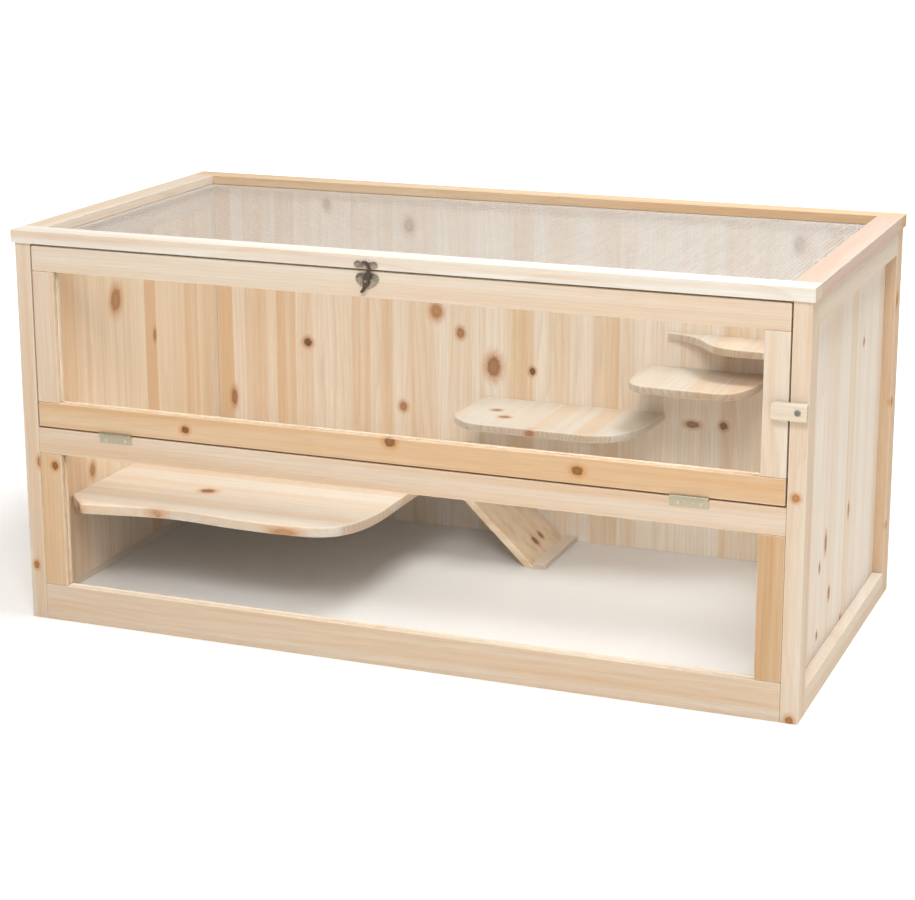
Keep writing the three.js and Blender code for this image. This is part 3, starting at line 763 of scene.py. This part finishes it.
def sides_of(node):
    """A node's low and high corners, and the axes of its longest and its thinnest side."""
    low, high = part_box(node)
    size = high - low
    order = sorted((X, Y, Z), key=lambda axis: size[axis])
    return low, high, order[2], order[0]


def add_timber(node):
    """A planed board or batten with its edges eased."""
    low, high, along, through = sides_of(node)
    piece = clean_copy(node, f"{node}_timber")
    framed = node.startswith(("door", "window", "front"))
    ease = FRAME_EASE if framed else EASE
    ease_edges(piece, ease)
    tone = TONES.get(node, random.uniform(0.1, 0.6))
    # Framed pieces paint the pale edge colour on every face narrower than the lip width, as a painted
    # highlight on the lit inner lips; other pieces only on their eased edges, as wear.
    mark_wood(piece, along, lambda centre: 0, [tone], LIT_LIP if framed else 0.95 * ease)
    finish = finish_of(node)
    material = fir(finish, node, along, through, OWN_KNOTS)
    return finish_piece(piece, material, nodes[node]["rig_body"], finish, node)


def strip_places(low, high, narrow, wide):
    """Where glued strips meet between two edges."""
    places = []
    place = low + random.uniform(narrow, wide)
    while place < high - narrow:
        places.append(place)
        place += random.uniform(narrow, wide)
    return places


def add_strip_panel(node):
    """A wall of upright strips, glued edge to edge, with the faintest groove at each joint."""
    low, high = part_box(node)
    size = high - low
    through = X if size.x < size.y else Y
    across = Y if through == X else X
    joints = strip_places(low[across], high[across], *WALL_STRIPS)
    places = [low[across]] + joints + [high[across]]
    deselect()
    bpy.ops.mesh.primitive_cube_add(size=1, location=(low + high) / 2)
    piece = bpy.context.object
    piece.name = f"{node}_strips"
    piece.scale = size
    settle(piece)
    cut_across(piece, across, joints)

    def is_joint(edge):
        ends = [piece.data.vertices[i].co for i in edge.vertices]
        meets = any(abs(ends[0][across] - place) < HAIR for place in places)
        straight = abs(ends[1][across] - ends[0][across]) < HAIR
        return meets and straight and abs(ends[1].z - ends[0].z) > 0.5 * size.z

    def strip_at(place):
        return sum(place > joint for joint in joints)

    open_chosen(piece, "EDGE", [is_joint(edge) for edge in piece.data.edges])
    bpy.ops.mesh.bevel(offset=JOINT_GROOVE, segments=2, profile=0.25, affect="EDGES")
    close_mesh()
    tones = [random.uniform(0.0, 0.45) for place in places]
    for warm in WARM_STRIPS[node]:
        tones[strip_at(warm * MM)] = random.uniform(0.6, 0.9)
    mark_wood(piece, Z, lambda centre: strip_at(centre[across]), tones, 0.0)
    finish = finish_of(node)
    material = fir(finish, node, Z, through, WALL_KNOTS)
    return finish_piece(piece, material, "cabinet", finish, node)


def add_shelf(node):
    """A shelf glued from strips, its outline sawn and its edges rounded over."""
    low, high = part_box(node)
    along = X if node == "shelf_a" else Y
    across = Y if along == X else X
    piece = clean_copy(node, f"{node}_board")
    joints = strip_places(low[across], high[across], *SHELF_STRIPS)
    tones = [random.uniform(0.1, 0.7) for strip in range(len(joints) + 1)]
    ease_edges(piece, 1.8 * MM, segments=3, angle=40)
    cut_across(piece, across, joints)
    mark_wood(piece, along, lambda centre: sum(centre[across] > joint for joint in joints), tones, MM)
    smooth_below(piece, 18)
    finish = finish_of(node)
    return finish_piece(piece, fir(finish, node, along, Z, OWN_KNOTS), "cabinet", finish, node)


def add_all_timbers():
    for node in sorted(nodes):
        if node in STRIPPED:
            add_strip_panel(node)
        elif node in SHELVES:
            add_shelf(node)
        elif finish_of(node) in WARM and node != "turn_button":
            add_timber(node)


# ---------------------------------------------------------------- lid mesh

MESH_PITCH = 6.35 * MM
WIRE_RADIUS = 0.32 * MM
# How far each layer of wires lies from the middle of the mesh, in wire radii: a little is welded away.
LAYER = 0.9


def add_wires(name, low, high, along, height):
    """One straight wire, repeated across the opening."""
    across = 1 - along
    length = high[along] - low[along]
    count = int((high[across] - low[across]) / MESH_PITCH)
    first = (low[across] + high[across]) / 2 - (count - 1) * MESH_PITCH / 2
    middle = [0, 0, height]
    middle[along] = (low[along] + high[along]) / 2
    middle[across] = first
    turn = (0, pi / 2, 0) if along == X else (pi / 2, 0, 0)
    deselect()
    bpy.ops.mesh.primitive_cylinder_add(
        vertices=6, radius=WIRE_RADIUS, depth=length, location=middle, rotation=turn)
    wires = bpy.context.object
    wires.name = name
    settle(wires)
    step = [0, 0, 0]
    step[across] = MESH_PITCH
    apply_modifier(wires, "ARRAY", count=count, use_relative_offset=False, use_constant_offset=True,
                   constant_offset_displace=step)
    return wires


def add_lid_mesh():
    """Welded wire mesh: the long wires lie under the short ones and touch them."""
    low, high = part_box("lid_mesh")
    level = (low.z + high.z) / 2
    long_wires = add_wires("lid_wire_mesh", low, high, X, level - WIRE_RADIUS * LAYER)
    short_wires = add_wires("short_wires", low, high, Y, level + WIRE_RADIUS * LAYER)
    pick(long_wires)
    short_wires.select_set(True)
    bpy.ops.object.join()
    mark_worn_and_lit(long_wires, 0.0)
    finish_piece(long_wires, WIRE, "lid", "galvanised_wire", "lid_mesh")


# ---------------------------------------------------------------- hardware

TO_FRONT, TO_BACK = (0, -1, 0), (0, 1, 0)
# The radius and the height of a screw's head.
HINGE_SCREW = (2.1 * MM, 0.7 * MM)
CLASP_SCREW = (1.6 * MM, 0.7 * MM)


def add_screw_head(name, place, outward, radius, height):
    """A pan-head screw with a cross recess, its head standing out along the given direction."""
    deselect()
    bpy.ops.mesh.primitive_cylinder_add(
        vertices=32, radius=radius, depth=height, location=(0, 0, height / 2))
    head = bpy.context.object
    head.name = name
    settle(head)
    open_chosen(head, "FACE", [face.normal.z > 0.9 for face in head.data.polygons])
    bpy.ops.mesh.bevel(offset=height * 0.55, segments=4, affect="EDGES")
    close_mesh()
    for spin in (0, pi / 2):
        deselect()
        bpy.ops.mesh.primitive_cube_add(size=1, location=(0, 0, height), rotation=(0, 0, spin + 0.5))
        slot = bpy.context.object
        slot.scale = (radius * 1.15, radius * 0.26, height * 0.9)
        settle(slot)
        apply_modifier(head, "BOOLEAN", operation="DIFFERENCE", object=slot, solver="EXACT")
        bpy.data.objects.remove(slot)
    turn = Vector(outward).to_track_quat("Z", "X").to_matrix().to_4x4()
    head.data.transform(Matrix.Translation(place) @ turn)
    mark_worn_and_lit(head, height * 0.3)
    smooth_below(head, 30)
    return head


def add_hinges():
    """Butt hinges with broken edges, and two screws in each leaf that shows."""
    for node in sorted(nodes):
        if "hinge" not in node:
            continue
        body = nodes[node]["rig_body"]
        leaf = clean_copy(node, f"{node}_plated")
        ease_edges(leaf, 0.12 * MM, segments=1, angle=50)
        mark_worn_and_lit(leaf, 0.16 * MM)
        smooth_below(leaf, 25)
        finish_piece(leaf, ZINC, body, "zinc_hardware", node)
    # The leaves' faces lie this far behind the round of the pin.
    behind = 3.7 * MM
    for side in ("left", "right"):
        low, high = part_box(f"door_hinge_fixed_leaf_{side}")
        level = low.z + 4.5 * MM
        add_leaf_screws(f"door_hinge_{side}", low, high, level, low.y + behind, TO_FRONT, "cabinet")
        low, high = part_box(f"lid_hinge_fixed_leaf_{side}")
        level = low.z + 5 * MM
        add_leaf_screws(f"lid_hinge_fixed_{side}", low, high, level, high.y - behind, TO_BACK, "cabinet")
        low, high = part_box(f"lid_hinge_moving_leaf_{side}")
        level = high.z - 5 * MM
        add_leaf_screws(f"lid_hinge_moving_{side}", low, high, level, high.y - behind, TO_BACK, "lid")


def add_leaf_screws(name, low, high, level, face, outward, body):
    for index, share in enumerate((0.2, 0.8)):
        place = Vector((low.x + share * (high.x - low.x), face, level))
        screw = add_screw_head(f"{name}_screw_{index + 1}", place, outward, *HINGE_SCREW)
        finish_piece(screw, ZINC, body, "zinc_hardware")


def add_latch():
    """The clasp: winged catch, heart-shaped plate with its post, and curved hook."""
    for node in ("latch_catch", "latch_plate", "latch_hook"):
        part = clean_copy(node, f"{node}_cast")
        ease_edges(part, 0.28 * MM, segments=2, angle=50)
        mark_worn_and_lit(part, 0.3 * MM)
        smooth_below(part, 30)
        look = DARK_BRONZE if node == "latch_hook" else BRONZE
        finish_piece(part, look, nodes[node]["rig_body"], "aged_bronze", node)
    low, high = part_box("latch_catch")
    middle = (low.x + high.x) / 2
    add_clasp_screws("latch_catch", middle, 12.5 * MM, low.y + 4.2 * MM, low.z + 5 * MM, "lid")
    low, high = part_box("latch_plate")
    add_clasp_screws("latch_plate", middle, 11 * MM, high.y - 1.3 * MM, low.z + 15 * MM, "door")


def add_clasp_screws(plate, middle, apart, face, level, body):
    for index, side in enumerate((-1, 1)):
        place = Vector((middle + side * apart, face, level))
        screw = add_screw_head(f"{plate}_screw_{index + 1}", place, TO_FRONT, *CLASP_SCREW)
        finish_piece(screw, BRONZE, body, "aged_bronze")


def add_turn_button():
    """A sanded wooden turn button with well rounded edges, and the pan-head screw that it turns on."""
    piece = clean_copy("turn_button", "turn_button_wood")
    ease_edges(piece, 1.2 * MM, segments=3, angle=50)
    mark_wood(piece, X, lambda centre: 0, [0.2], 0.7 * MM)
    smooth_below(piece, 20)
    material = fir("pale_fir", "turn_button", X, Y, knots=0.0)
    finish_piece(piece, material, "turn_button", "pale_fir", "turn_button")
    low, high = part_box("turn_button_screw")
    centre = (low + high) / 2
    place = Vector((centre.x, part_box("turn_button")[0].y, centre.z))
    radius = (high.x - low.x) / 2
    screw = add_screw_head("turn_button_screw_head", place, TO_FRONT, radius, place.y - low.y)
    finish_piece(screw, DARK_ZINC, "cabinet", "zinc_hardware", "turn_button_screw")


# ---------------------------------------------------------------- build

set_camera()
add_all_timbers()
add_lid_mesh()
add_hinges()
add_latch()
add_turn_button()
for name in ("door_pane", "window_pane"):
    nodes[name].data.materials[0] = ACRYLIC
nodes["floor_sheet"].data.materials[0] = BOARD
set_studio()
